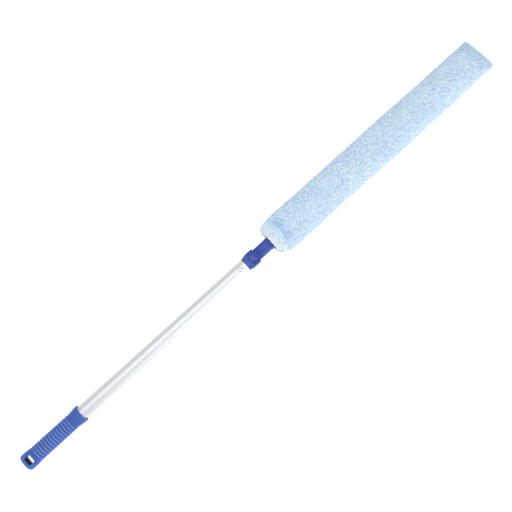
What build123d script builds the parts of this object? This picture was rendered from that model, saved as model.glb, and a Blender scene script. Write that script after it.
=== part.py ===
from build123d import *
import os

# Flat microfibre sleeve duster, lying on its flat side.
# +X runs along the handle towards the tip of the sleeve, +Z points up out of the flat face.
# The origin is on the supporting plane, midway between the two ends.  Lengths are in mm.

# overall layout along X
PIVOT_X = -51.25
AXIS_Z = 14.0
BUTT_X = PIVOT_X - 459.5
TIP_X = PIVOT_X + 562.0

# aluminium handle tube
TUBE_R = 11.0
TUBE_WALL = 1.0
TUBE_START_X = PIVOT_X - 432.0
TUBE_END_X = PIVOT_X - 15.0

# snap button
BUTTON_X = PIVOT_X - 27.0
BUTTON_R = 3.25
BUTTON_HOLE_R = 3.3
BUTTON_TOP_Z = AXIS_Z + 12.0
BUTTON_FLANGE_R = 4.2
BUTTON_FLANGE_Z = AXIS_Z + 7.8
BUTTON_FLANGE_T = 1.2
POCKET_R = 4.3
POCKET_FLOOR_Z = AXIS_Z - 1.0
SPRING_R = 2.9
SPRING_WIRE_R = 0.3
SPRING_TURNS = 5

# ribbed grip
GRIP_MOUTH_X = PIVOT_X - 352.0
GRIP_RIM_R = 14.0
GRIP_VALLEY_R = 12.05
GRIP_RIDGE_R = 12.65
RIB_COUNT = 14
RIB_FIRST_X = PIVOT_X - 435.5
RIB_PITCH = 4.78
RIB_WIDTH = 2.8
BUTT_WIDTH = 26.5
BUTT_THICK = 18.0
BUTT_BULGE = 2.0
FLAT_START_X = PIVOT_X - 446.0
ROUND_END_X = PIVOT_X - 437.6
HANG_X = PIVOT_X - 449.4
HANG_LENGTH = 10.2
HANG_WIDTH = 13.5

# end plug inside the grip
PLUG_TAB_WIDTH = 21.6
PLUG_TAB_THICK = 14.0
PLUG_SPIGOT_R = 9.9
PLUG_SPIGOT_END_X = PIVOT_X - 412.0

# neck fork
FORK_HALF_T = 10.25
FORK_HALF_W = 12.8
FORK_BASE_HALF_W = 10.9
FORK_LIP_X = PIVOT_X + 9.5
FORK_WEB_X = PIVOT_X - 11.0
FORK_SLOT_HALF = 5.1
SPIGOT_R = 9.9
SPIGOT_END_X = PIVOT_X - 47.0
EAR_FLOOR = 7.95
EAR_RIM = 2.3
EAR_ROUND = 2.2

# pivot
PIN_R = 2.5
PIN_HEAD_R = 3.6
PIN_HOLE_R = 2.55
STEM_HOLE_R = 2.56
WASHER_R = 8.0
WASHER_T = 0.5

# head stem
STEM_HALF_W = 10.15
STEM_HALF_T = 4.5
STEM_CHAMFER = 3.0
FLANGE_X = PIVOT_X + 37.0
FLANGE_T = 3.0
TONGUE_END_X = PIVOT_X + 78.0
TONGUE_HALF_W = 9.0
TONGUE_HALF_T = 3.6
FLUTE_Y = (-6.8, -2.3, 2.3, 6.8)
FLUTE_START_X = PIVOT_X + 8.6
FLUTE_END_X = PIVOT_X + 33.0
FLUTE_R = 1.5
FLUTE_RISE = 1.5

# flexible blade
BLADE_HALF_T = 1.5
BLADE_HALF_W = 22.5
BLADE_ROOT_X = PIVOT_X + 46.5
BLADE_END_X = PIVOT_X + 545.0
BLADE_ROOT_HALF_W = 8.5
WINDOW_COUNT = 10
WINDOW_PITCH = 43.5
WINDOW_LENGTH = 32.0
WINDOW_WIDTH = 24.0
WINDOW_FIRST_X = PIVOT_X + 128.0
RIVET_X = (PIVOT_X + 56.0, PIVOT_X + 70.0)

# microfibre sleeve
SLEEVE_MOUTH_X = PIVOT_X + 40.5
SLEEVE_SHOULDER_X = PIVOT_X + 70.0
SLEEVE_HALF_W = 33.5
SLEEVE_MOUTH_HALF_W = 26.0
SLEEVE_HALF_T = 12.0
SLEEVE_TIP_SKEW = 7.0
HEM_END_X = PIVOT_X + 58.0
POCKET_HALF_W = 23.5
LINING_WALL = 0.8
LINING_END_X = PIVOT_X + 550.0


def grip_radius_profile():
    """Outer half profile of the round part of the grip, from the butt side to the mouth."""
    Line((ROUND_END_X, AXIS_Z), (ROUND_END_X, AXIS_Z + GRIP_VALLEY_R))
    last = ROUND_END_X
    for number in range(RIB_COUNT):
        centre = RIB_FIRST_X + number * RIB_PITCH
        start = centre - RIB_WIDTH / 2
        end = centre + RIB_WIDTH / 2
        Line((last, AXIS_Z + GRIP_VALLEY_R), (start, AXIS_Z + GRIP_VALLEY_R))
        ThreePointArc(
            (start, AXIS_Z + GRIP_VALLEY_R),
            (centre, AXIS_Z + GRIP_RIDGE_R),
            (end, AXIS_Z + GRIP_VALLEY_R),
        )
        last = end
    Spline(
        (last, AXIS_Z + GRIP_VALLEY_R),
        (PIVOT_X - 362.0, AXIS_Z + 13.05),
        (GRIP_MOUTH_X - 1.2, AXIS_Z + GRIP_RIM_R),
        tangents=((1, 0.05), (1, 0.02)),
    )
    ThreePointArc(
        (GRIP_MOUTH_X - 1.2, AXIS_Z + GRIP_RIM_R),
        (GRIP_MOUTH_X - 0.35, AXIS_Z + GRIP_RIM_R - 0.35),
        (GRIP_MOUTH_X, AXIS_Z + GRIP_RIM_R - 1.2),
    )
    Line((GRIP_MOUTH_X, AXIS_Z + GRIP_RIM_R - 1.2), (GRIP_MOUTH_X, AXIS_Z))
    Line((GRIP_MOUTH_X, AXIS_Z), (ROUND_END_X, AXIS_Z))


def sleeve_outline():
    """Plan of the sleeve: narrow mouth, straight sides and a slightly skewed tip."""
    mouth = SLEEVE_MOUTH_X
    wide = SLEEVE_HALF_W
    narrow = SLEEVE_MOUTH_HALF_W
    tip_low = TIP_X
    tip_high = TIP_X - SLEEVE_TIP_SKEW
    Line((mouth, -narrow), (mouth, narrow))
    Spline(
        (mouth, narrow),
        (SLEEVE_SHOULDER_X, wide),
        tangents=((0.62, 0.78), (1, 0)),
    )
    Line((SLEEVE_SHOULDER_X, wide), (tip_high, wide))
    Line((tip_high, wide), (tip_low, -wide))
    Line((tip_low, -wide), (SLEEVE_SHOULDER_X, -wide))
    Spline(
        (SLEEVE_SHOULDER_X, -wide),
        (mouth, -narrow),
        tangents=((-1, 0), (-0.62, 0.78)),
    )


def pocket_profile(grow=0.0):
    """Side profile of the pocket inside the sleeve, wide at the mouth and flat along the blade."""
    thick = 5.0 + grow
    thin = 2.4 + grow
    start = SLEEVE_MOUTH_X - 1.0
    end = LINING_END_X - LINING_WALL + grow
    Polyline(
        (start, AXIS_Z - thick),
        (PIVOT_X + 76.0, AXIS_Z - thick),
        (PIVOT_X + 122.0, AXIS_Z - thin),
        (end, AXIS_Z - thin),
        (end, AXIS_Z + thin),
        (PIVOT_X + 122.0, AXIS_Z + thin),
        (PIVOT_X + 76.0, AXIS_Z + thick),
        (start, AXIS_Z + thick),
        close=True,
    )


# ---------------------------------------------------------------- handle

with BuildPart() as handle_tube:
    with BuildSketch(Plane.YZ.offset(TUBE_START_X)):
        with Locations((0, AXIS_Z)):
            Circle(TUBE_R)
            Circle(TUBE_R - TUBE_WALL, mode=Mode.SUBTRACT)
    extrude(amount=TUBE_END_X - TUBE_START_X)
    # spring-button hole in the upper wall
    with BuildSketch(Plane.XY.offset(AXIS_Z)):
        with Locations((BUTTON_X, 0)):
            Circle(BUTTON_HOLE_R)
    extrude(amount=TUBE_R + 4.0, mode=Mode.SUBTRACT)

with BuildPart() as grip_cover:
    with BuildSketch(Plane.XZ):
        with BuildLine():
            grip_radius_profile()
        make_face()
    revolve(axis=Axis((0, 0, AXIS_Z), (1, 0, 0)), revolution_arc=360)
    # transition from the round barrel to the flattened end
    with BuildSketch(Plane.YZ.offset(FLAT_START_X)):
        with Locations((0, AXIS_Z)):
            RectangleRounded(BUTT_WIDTH, BUTT_THICK, 7.5)
    with BuildSketch(Plane.YZ.offset(ROUND_END_X)):
        with Locations((0, AXIS_Z)):
            Circle(GRIP_VALLEY_R)
    loft()
    # flattened end with its curved butt
    with BuildSketch(Plane.XY.offset(AXIS_Z)):
        with BuildLine():
            Line((FLAT_START_X, -BUTT_WIDTH / 2), (FLAT_START_X, BUTT_WIDTH / 2))
            Line((FLAT_START_X, BUTT_WIDTH / 2), (BUTT_X + BUTT_BULGE, BUTT_WIDTH / 2))
            ThreePointArc(
                (BUTT_X + BUTT_BULGE, BUTT_WIDTH / 2),
                (BUTT_X, 0),
                (BUTT_X + BUTT_BULGE, -BUTT_WIDTH / 2),
            )
            Line((BUTT_X + BUTT_BULGE, -BUTT_WIDTH / 2), (FLAT_START_X, -BUTT_WIDTH / 2))
        make_face()
    extrude(amount=BUTT_THICK / 2, both=True)
    long_edges = grip_cover.edges().filter_by(Axis.X).filter_by(
        lambda edge: edge.center().X < FLAT_START_X and abs(abs(edge.center().Y) - BUTT_WIDTH / 2) < 0.01
        and abs(abs(edge.center().Z - AXIS_Z) - BUTT_THICK / 2) < 0.01
    )
    fillet(long_edges, 7.4)
    butt_edges = grip_cover.faces().sort_by(Axis.X)[0].edges()
    fillet(butt_edges, 2.6)
    # bore for the tube, opening out at the mouth
    with BuildSketch(Plane.XZ):
        with BuildLine():
            Polyline(
                (PIVOT_X - 434.2, AXIS_Z),
                (PIVOT_X - 434.2, AXIS_Z + TUBE_R + 0.1),
                (GRIP_MOUTH_X - 7.0, AXIS_Z + TUBE_R + 0.1),
                (GRIP_MOUTH_X - 4.0, AXIS_Z + 12.5),
                (GRIP_MOUTH_X + 1.0, AXIS_Z + 12.7),
                (GRIP_MOUTH_X + 1.0, AXIS_Z),
                close=True,
            )
        make_face()
    revolve(axis=Axis((0, 0, AXIS_Z), (1, 0, 0)), revolution_arc=360, mode=Mode.SUBTRACT)
    # pocket for the end plug
    with BuildSketch(Plane.YZ.offset(PIVOT_X - 457.2)):
        with Locations((0, AXIS_Z)):
            RectangleRounded(PLUG_TAB_WIDTH + 0.2, PLUG_TAB_THICK + 0.2, 5.6)
    extrude(amount=23.7, mode=Mode.SUBTRACT)
    # hanging hole
    with BuildSketch(Plane.XY.offset(AXIS_Z)):
        with Locations((HANG_X, 0)):
            RectangleRounded(HANG_LENGTH, HANG_WIDTH, 2.6)
    extrude(amount=BUTT_THICK, both=True, mode=Mode.SUBTRACT)

with BuildPart() as grip_plug:
    with BuildSketch(Plane.YZ.offset(PIVOT_X - 457.0)):
        with Locations((0, AXIS_Z)):
            RectangleRounded(PLUG_TAB_WIDTH, PLUG_TAB_THICK, 5.5)
    extrude(amount=23.5)
    # shoulder that meets the end of the tube
    with BuildSketch(Plane.YZ.offset(PIVOT_X - 434.0)):
        with Locations((0, AXIS_Z)):
            Circle(TUBE_R - 0.1)
    extrude(amount=1.9)
    # hollow spigot inside the tube
    with BuildSketch(Plane.YZ.offset(PIVOT_X - 432.2)):
        with Locations((0, AXIS_Z)):
            Circle(PLUG_SPIGOT_R)
    extrude(amount=PLUG_SPIGOT_END_X - (PIVOT_X - 432.2))
    with BuildSketch(Plane.YZ.offset(PIVOT_X - 430.0)):
        with Locations((0, AXIS_Z)):
            Circle(PLUG_SPIGOT_R - 2.2)
    extrude(amount=30.0, mode=Mode.SUBTRACT)
    with BuildSketch(Plane.XY.offset(AXIS_Z)):
        with Locations((HANG_X, 0)):
            RectangleRounded(HANG_LENGTH - 0.6, HANG_WIDTH - 0.6, 2.3)
    extrude(amount=BUTT_THICK, both=True, mode=Mode.SUBTRACT)

# ---------------------------------------------------------------- neck

with BuildPart() as neck_fork:
    # plan of the fork, flaring from the tube to the two ears
    with BuildSketch(Plane.XY.offset(AXIS_Z)):
        with BuildLine() as fork_plan:
            Polyline(
                (TUBE_END_X, -FORK_BASE_HALF_W),
                (PIVOT_X - 12.6, -FORK_BASE_HALF_W - 0.1),
                (PIVOT_X - 5.0, -FORK_HALF_W),
                (FORK_LIP_X, -FORK_HALF_W),
                (FORK_LIP_X, FORK_HALF_W),
                (PIVOT_X - 5.0, FORK_HALF_W),
                (PIVOT_X - 12.6, FORK_BASE_HALF_W + 0.1),
                (TUBE_END_X, FORK_BASE_HALF_W),
                close=True,
            )
        make_face()
    extrude(amount=FORK_HALF_T, both=True)
    lip_corners = neck_fork.edges().filter_by(Axis.Z).filter_by(
        lambda edge: abs(edge.center().X - FORK_LIP_X) < 0.01
    )
    fillet(lip_corners, 3.4)
    shoulder_corners = neck_fork.edges().filter_by(Axis.Z).filter_by(
        lambda edge: abs(edge.center().X - (PIVOT_X - 5.0)) < 0.01
    )
    fillet(shoulder_corners, 6.0)
    face_edges = neck_fork.faces().filter_by(Axis.Z).edges()
    fillet(face_edges, EAR_ROUND)
    # the base blends into the round of the tube
    with BuildSketch(Plane.XZ):
        with BuildLine():
            Polyline(
                (TUBE_END_X, AXIS_Z),
                (TUBE_END_X, AXIS_Z + FORK_BASE_HALF_W),
                (PIVOT_X - 13.0, AXIS_Z + FORK_BASE_HALF_W + 0.3),
                (PIVOT_X - 4.0, AXIS_Z + 17.0),
                (PIVOT_X + 12.0, AXIS_Z + 17.0),
                (PIVOT_X + 12.0, AXIS_Z),
                close=True,
            )
        make_face()
    revolve(axis=Axis((0, 0, AXIS_Z), (1, 0, 0)), revolution_arc=360, mode=Mode.INTERSECT)
    # slot between the ears
    with BuildSketch(Plane.XZ):
        with Locations(((FORK_WEB_X + PIVOT_X + 20.0) / 2, AXIS_Z)):
            Rectangle(PIVOT_X + 20.0 - FORK_WEB_X, 2 * FORK_SLOT_HALF)
    extrude(amount=30.0, both=True, mode=Mode.SUBTRACT)
    # spigot inside the tube
    with BuildSketch(Plane.YZ.offset(SPIGOT_END_X)):
        with Locations((0, AXIS_Z)):
            Circle(SPIGOT_R)
    extrude(amount=FORK_WEB_X - 1.0 - SPIGOT_END_X)
    spigot_rim = neck_fork.faces().sort_by(Axis.X)[0].edges()
    chamfer(spigot_rim, 0.8)
    with BuildSketch(Plane.YZ.offset(SPIGOT_END_X)):
        with Locations((0, AXIS_Z)):
            Circle(6.5)
    extrude(amount=13.0, mode=Mode.SUBTRACT)
    # pocket for the snap button and its spring
    with BuildSketch(Plane.XY.offset(POCKET_FLOOR_Z)):
        with Locations((BUTTON_X, 0)):
            Circle(POCKET_R)
    extrude(amount=16.0, mode=Mode.SUBTRACT)
    # shallow recess in the outer face of each ear
    for side in (1, -1):
        with BuildSketch(Plane.XY.offset(AXIS_Z + side * EAR_FLOOR)):
            with BuildLine():
                Line(
                    (PIVOT_X - 3.6, FORK_HALF_W - EAR_RIM),
                    (FORK_LIP_X - EAR_RIM - 2.0, FORK_HALF_W - EAR_RIM),
                )
                ThreePointArc(
                    (FORK_LIP_X - EAR_RIM - 2.0, FORK_HALF_W - EAR_RIM),
                    (FORK_LIP_X - EAR_RIM - 0.59, FORK_HALF_W - EAR_RIM - 0.59),
                    (FORK_LIP_X - EAR_RIM, FORK_HALF_W - EAR_RIM - 2.0),
                )
                Line(
                    (FORK_LIP_X - EAR_RIM, FORK_HALF_W - EAR_RIM - 2.0),
                    (FORK_LIP_X - EAR_RIM, -FORK_HALF_W + EAR_RIM + 2.0),
                )
                ThreePointArc(
                    (FORK_LIP_X - EAR_RIM, -FORK_HALF_W + EAR_RIM + 2.0),
                    (FORK_LIP_X - EAR_RIM - 0.59, -FORK_HALF_W + EAR_RIM + 0.59),
                    (FORK_LIP_X - EAR_RIM - 2.0, -FORK_HALF_W + EAR_RIM),
                )
                Line(
                    (FORK_LIP_X - EAR_RIM - 2.0, -FORK_HALF_W + EAR_RIM),
                    (PIVOT_X - 3.6, -FORK_HALF_W + EAR_RIM),
                )
                ThreePointArc(
                    (PIVOT_X - 3.6, -FORK_HALF_W + EAR_RIM),
                    (PIVOT_X - 7.2, 0),
                    (PIVOT_X - 3.6, FORK_HALF_W - EAR_RIM),
                )
            make_face()
        extrude(amount=side * 6.0, mode=Mode.SUBTRACT)
    # pivot hole through both ears
    with BuildSketch(Plane.XY.offset(AXIS_Z)):
        with Locations((PIVOT_X, 0)):
            Circle(PIN_HOLE_R)
    extrude(amount=20.0, both=True, mode=Mode.SUBTRACT)

with BuildPart() as pivot_pin:
    with BuildSketch(Plane.XY.offset(AXIS_Z - 9.9)):
        with Locations((PIVOT_X, 0)):
            Circle(PIN_R)
    extrude(amount=9.9 + EAR_FLOOR + 0.1)
    with BuildSketch(Plane.XY.offset(AXIS_Z + EAR_FLOOR + 0.02)):
        with Locations((PIVOT_X, 0)):
            Circle(PIN_HEAD_R)
    extrude(amount=1.35)
    head_rim = pivot_pin.faces().sort_by(Axis.Z)[-1].edges()
    fillet(head_rim, 0.5)
    # cored dimple in the head
    with BuildSketch(Plane.XY.offset(AXIS_Z + EAR_FLOOR + 1.4)):
        with Locations((PIVOT_X, 0)):
            Circle(1.4)
    extrude(amount=-3.2, mode=Mode.SUBTRACT)
    chamfer(pivot_pin.faces().sort_by(Axis.Z)[0].edges(), 0.4)

with BuildPart() as pivot_push_nut:
    with BuildSketch(Plane.XY.offset(AXIS_Z - EAR_FLOOR - 0.05)):
        with Locations((PIVOT_X, 0)):
            Circle(5.0)
            Circle(PIN_HOLE_R, mode=Mode.SUBTRACT)
    extrude(amount=-0.5)

with BuildPart() as friction_washer_top:
    with BuildSketch(Plane.XY.offset(AXIS_Z + STEM_HALF_T + 0.05)):
        with Locations((PIVOT_X, 0)):
            Circle(WASHER_R)
            Circle(PIN_HOLE_R, mode=Mode.SUBTRACT)
    extrude(amount=WASHER_T)

with BuildPart() as friction_washer_bottom:
    with BuildSketch(Plane.XY.offset(AXIS_Z - STEM_HALF_T - 0.05)):
        with Locations((PIVOT_X, 0)):
            Circle(WASHER_R)
            Circle(PIN_HOLE_R, mode=Mode.SUBTRACT)
    extrude(amount=-WASHER_T)

with BuildPart() as snap_button:
    with BuildSketch(Plane.XY.offset(BUTTON_FLANGE_Z)):
        with Locations((BUTTON_X, 0)):
            Circle(BUTTON_R)
    extrude(amount=BUTTON_TOP_Z - BUTTON_FLANGE_Z)
    dome_edge = snap_button.faces().sort_by(Axis.Z)[-1].edges()
    fillet(dome_edge, 1.9)
    # flange that stops against the inside of the tube
    with BuildSketch(Plane.XY.offset(BUTTON_FLANGE_Z)):
        with Locations((BUTTON_X, 0)):
            Circle(BUTTON_FLANGE_R)
    extrude(amount=BUTTON_FLANGE_T)

spring_low = POCKET_FLOOR_Z + SPRING_WIRE_R + 0.05
spring_high = BUTTON_FLANGE_Z - SPRING_WIRE_R - 0.05

with BuildPart() as button_spring:
    with BuildLine() as spring_path:
        Helix(
            pitch=(spring_high - spring_low) / SPRING_TURNS,
            height=spring_high - spring_low,
            radius=SPRING_R,
            center=(BUTTON_X, 0, spring_low),
        )
    with BuildSketch(Plane(origin=spring_path.line @ 0, z_dir=spring_path.line % 0)):
        Circle(SPRING_WIRE_R)
    sweep()

# ---------------------------------------------------------------- dusting head

with BuildPart() as head_stem:
    # round knuckle between the ears
    with BuildSketch(Plane.XY.offset(AXIS_Z)):
        with Locations((PIVOT_X, 0)):
            Circle(STEM_HALF_W)
    extrude(amount=STEM_HALF_T, both=True)
    # chamfered bar
    with BuildSketch(Plane.YZ.offset(PIVOT_X + 3.0)):
        with BuildLine():
            Polyline(
                (-STEM_HALF_W, AXIS_Z - STEM_HALF_T + STEM_CHAMFER),
                (-STEM_HALF_W + STEM_CHAMFER, AXIS_Z - STEM_HALF_T),
                (STEM_HALF_W - STEM_CHAMFER, AXIS_Z - STEM_HALF_T),
                (STEM_HALF_W, AXIS_Z - STEM_HALF_T + STEM_CHAMFER),
                (STEM_HALF_W, AXIS_Z + STEM_HALF_T - STEM_CHAMFER),
                (STEM_HALF_W - STEM_CHAMFER, AXIS_Z + STEM_HALF_T),
                (-STEM_HALF_W + STEM_CHAMFER, AXIS_Z + STEM_HALF_T),
                (-STEM_HALF_W, AXIS_Z + STEM_HALF_T - STEM_CHAMFER),
                close=True,
            )
        make_face()
    extrude(amount=FLANGE_X - PIVOT_X - 3.0 + 0.5)
    # end flange
    with BuildSketch(Plane.YZ.offset(FLANGE_X)):
        with Locations((0, AXIS_Z)):
            RectangleRounded(21.8, 11.6, 4.4)
    extrude(amount=FLANGE_T)
    flange_edges = head_stem.faces().sort_by(Axis.X)[-1].edges()
    fillet(flange_edges, 0.8)
    # tongue that enters the sleeve
    with BuildSketch(Plane.YZ.offset(FLANGE_X + 1.0)):
        with Locations((0, AXIS_Z)):
            RectangleRounded(2 * TONGUE_HALF_W, 2 * TONGUE_HALF_T, 1.6)
    extrude(amount=TONGUE_END_X - FLANGE_X - 1.0)
    # slot that holds the root of the blade
    with BuildSketch(Plane.XZ):
        with Locations(((BLADE_ROOT_X - 0.3 + TONGUE_END_X + 5.0) / 2, AXIS_Z)):
            Rectangle(TONGUE_END_X + 5.0 - BLADE_ROOT_X + 0.3, 2 * BLADE_HALF_T + 0.1)
    extrude(amount=20.0, both=True, mode=Mode.SUBTRACT)
    for x in RIVET_X:
        with BuildSketch(Plane.XY.offset(AXIS_Z)):
            with Locations((x, 0)):
                Circle(1.65)
        extrude(amount=8.0, both=True, mode=Mode.SUBTRACT)
    # flutes that fade out towards the flange, on both faces
    for side in (1, -1):
        for y in FLUTE_Y:
            with BuildSketch(
                Plane(
                    origin=(FLUTE_START_X, y, AXIS_Z + side * (STEM_HALF_T - 0.1)),
                    z_dir=(FLUTE_END_X - FLUTE_START_X, 0, side * FLUTE_RISE),
                )
            ):
                Circle(FLUTE_R)
            extrude(amount=26.0, mode=Mode.SUBTRACT)
    # pivot hole
    with BuildSketch(Plane.XY.offset(AXIS_Z)):
        with Locations((PIVOT_X, 0)):
            Circle(STEM_HOLE_R)
    extrude(amount=10.0, both=True, mode=Mode.SUBTRACT)

with BuildPart() as blade_core:
    with BuildSketch(Plane.XY.offset(AXIS_Z)):
        with BuildLine():
            Line((BLADE_ROOT_X, -BLADE_ROOT_HALF_W), (BLADE_ROOT_X, BLADE_ROOT_HALF_W))
            Line((BLADE_ROOT_X, BLADE_ROOT_HALF_W), (TONGUE_END_X + 1.0, BLADE_ROOT_HALF_W))
            Line((TONGUE_END_X + 1.0, BLADE_ROOT_HALF_W), (PIVOT_X + 106.0, BLADE_HALF_W))
            Line((PIVOT_X + 106.0, BLADE_HALF_W), (BLADE_END_X - 14.0, BLADE_HALF_W))
            ThreePointArc(
                (BLADE_END_X - 14.0, BLADE_HALF_W),
                (BLADE_END_X - 4.1, BLADE_HALF_W - 4.1),
                (BLADE_END_X, BLADE_HALF_W - 14.0),
            )
            Line((BLADE_END_X, BLADE_HALF_W - 14.0), (BLADE_END_X, -BLADE_HALF_W + 14.0))
            ThreePointArc(
                (BLADE_END_X, -BLADE_HALF_W + 14.0),
                (BLADE_END_X - 4.1, -BLADE_HALF_W + 4.1),
                (BLADE_END_X - 14.0, -BLADE_HALF_W),
            )
            Line((BLADE_END_X - 14.0, -BLADE_HALF_W), (PIVOT_X + 106.0, -BLADE_HALF_W))
            Line((PIVOT_X + 106.0, -BLADE_HALF_W), (TONGUE_END_X + 1.0, -BLADE_ROOT_HALF_W))
            Line((TONGUE_END_X + 1.0, -BLADE_ROOT_HALF_W), (BLADE_ROOT_X, -BLADE_ROOT_HALF_W))
        make_face()
    extrude(amount=BLADE_HALF_T, both=True)
    # windows that let the blade bend
    for number in range(WINDOW_COUNT):
        with BuildSketch(Plane.XY.offset(AXIS_Z)):
            with Locations((WINDOW_FIRST_X + number * WINDOW_PITCH, 0)):
                RectangleRounded(WINDOW_LENGTH, WINDOW_WIDTH, 5.0)
        extrude(amount=5.0, both=True, mode=Mode.SUBTRACT)
    for x in RIVET_X:
        with BuildSketch(Plane.XY.offset(AXIS_Z)):
            with Locations((x, 0)):
                Circle(1.65)
        extrude(amount=8.0, both=True, mode=Mode.SUBTRACT)

with BuildPart() as blade_rivets:
    for x in RIVET_X:
        with BuildSketch(Plane.XY.offset(AXIS_Z)):
            with Locations((x, 0)):
                Circle(1.6)
        extrude(amount=TONGUE_HALF_T + 0.1, both=True)
        for side in (1, -1):
            with BuildSketch(Plane.XY.offset(AXIS_Z + side * (TONGUE_HALF_T + 0.03))):
                with Locations((x, 0)):
                    Circle(2.5)
            extrude(amount=side * 0.75)

# ---------------------------------------------------------------- sleeve

with BuildPart() as sleeve_form:
    with BuildSketch(Plane.XY.offset(AXIS_Z)):
        with BuildLine():
            sleeve_outline()
        make_face()
    extrude(amount=SLEEVE_HALF_T, both=True)
    corner_edges = sleeve_form.edges().filter_by(Axis.Z).filter_by(
        lambda edge: edge.center().X > TIP_X - 10.0
    )
    fillet(corner_edges, 5.0)
    mouth_corners = sleeve_form.edges().filter_by(Axis.Z).filter_by(
        lambda edge: abs(edge.center().X - SLEEVE_MOUTH_X) < 0.01
    )
    fillet(mouth_corners, 5.0)
    rim_edges = sleeve_form.faces().filter_by(Axis.Z).edges()
    fillet(rim_edges, 8.0)

with BuildPart() as pocket_space:
    with BuildSketch(Plane.XZ):
        with BuildLine():
            pocket_profile(LINING_WALL + 0.1)
        make_face()
    extrude(amount=POCKET_HALF_W + LINING_WALL + 0.1, both=True)

with BuildPart() as elastic_space:
    with BuildSketch(Plane.YZ.offset(PIVOT_X + 45.8)):
        with Locations((0, AXIS_Z)):
            Rectangle(51.0, 14.6)
    extrude(amount=8.4)

with BuildPart() as seam_space:
    for side in (1, -1):
        with BuildSketch(Plane.XY.offset(AXIS_Z)):
            with Locations(((HEM_END_X + 1.0 + LINING_END_X + 3.2) / 2, side * 27.0)):
                Rectangle(LINING_END_X + 3.2 - HEM_END_X - 1.0, 3.2)
        extrude(amount=0.9, both=True)
    with BuildSketch(Plane.XY.offset(AXIS_Z)):
        with Locations((LINING_END_X + 1.9, 0)):
            Rectangle(2.6, 57.2)
    extrude(amount=0.9, both=True)

with BuildPart() as sleeve_lining:
    with BuildSketch(Plane.XZ):
        with BuildLine():
            pocket_profile(LINING_WALL)
        make_face()
    extrude(amount=POCKET_HALF_W + LINING_WALL, both=True)
    with BuildSketch(Plane.XZ):
        with BuildLine():
            pocket_profile(0.0)
        make_face()
    extrude(amount=POCKET_HALF_W, both=True, mode=Mode.SUBTRACT)
    with BuildSketch(Plane.YZ.offset(SLEEVE_MOUTH_X - 5.0)):
        with Locations((0, AXIS_Z)):
            Rectangle(80.0, 40.0)
    extrude(amount=5.0 + 1.0, mode=Mode.SUBTRACT)

with BuildPart() as hem_elastic:
    with BuildSketch(Plane.YZ.offset(PIVOT_X + 46.0)):
        with Locations((0, AXIS_Z)):
            Rectangle(50.6, 14.2)
            Rectangle(49.0, 12.0, mode=Mode.SUBTRACT)
    extrude(amount=8.0)

with BuildPart() as seam_binding:
    for side in (1, -1):
        with BuildSketch(Plane.XY.offset(AXIS_Z)):
            with Locations(((HEM_END_X + 1.2 + LINING_END_X + 3.0) / 2, side * 27.0)):
                Rectangle(LINING_END_X + 3.0 - HEM_END_X - 1.2, 2.8)
        extrude(amount=0.8, both=True)
    with BuildSketch(Plane.XY.offset(AXIS_Z)):
        with Locations((LINING_END_X + 1.9, 0)):
            Rectangle(2.2, 56.8)
    extrude(amount=0.8, both=True)

with BuildPart() as sleeve_hem:
    add(sleeve_form.part)
    add(pocket_space.part, mode=Mode.SUBTRACT)
    add(elastic_space.part, mode=Mode.SUBTRACT)
    with BuildSketch(Plane.YZ.offset(HEM_END_X)):
        with Locations((0, AXIS_Z)):
            Rectangle(90.0, 60.0)
    extrude(amount=600.0, mode=Mode.SUBTRACT)

with BuildPart() as sleeve_top_panel:
    add(sleeve_form.part)
    add(pocket_space.part, mode=Mode.SUBTRACT)
    add(seam_space.part, mode=Mode.SUBTRACT)
    with BuildSketch(Plane.YZ.offset(HEM_END_X + 0.15)):
        with Locations((0, AXIS_Z)):
            Rectangle(90.0, 60.0)
    extrude(amount=-100.0, mode=Mode.SUBTRACT)
    with BuildSketch(Plane.XY.offset(AXIS_Z + 0.05)):
        Rectangle(1200.0, 90.0)
    extrude(amount=-30.0, mode=Mode.SUBTRACT)

with BuildPart() as sleeve_bottom_panel:
    add(sleeve_form.part)
    add(pocket_space.part, mode=Mode.SUBTRACT)
    add(seam_space.part, mode=Mode.SUBTRACT)
    with BuildSketch(Plane.YZ.offset(HEM_END_X + 0.15)):
        with Locations((0, AXIS_Z)):
            Rectangle(90.0, 60.0)
    extrude(amount=-100.0, mode=Mode.SUBTRACT)
    with BuildSketch(Plane.XY.offset(AXIS_Z - 0.05)):
        Rectangle(1200.0, 90.0)
    extrude(amount=30.0, mode=Mode.SUBTRACT)

# ---------------------------------------------------------------- export

handle_tube.part.label = "handle_tube"
grip_cover.part.label = "grip_cover"
grip_plug.part.label = "grip_plug"
neck_fork.part.label = "neck_fork"
pivot_pin.part.label = "pivot_pin"
pivot_push_nut.part.label = "pivot_push_nut"
friction_washer_top.part.label = "friction_washer_top"
friction_washer_bottom.part.label = "friction_washer_bottom"
snap_button.part.label = "snap_button"
button_spring.part.label = "button_spring"
head_stem.part.label = "head_stem"
blade_core.part.label = "blade_core"
blade_rivets.part.label = "blade_rivets"
sleeve_top_panel.part.label = "sleeve_top_panel"
sleeve_bottom_panel.part.label = "sleeve_bottom_panel"
sleeve_hem.part.label = "sleeve_hem"
sleeve_lining.part.label = "sleeve_lining"
hem_elastic.part.label = "hem_elastic"
seam_binding.part.label = "seam_binding"

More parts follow.
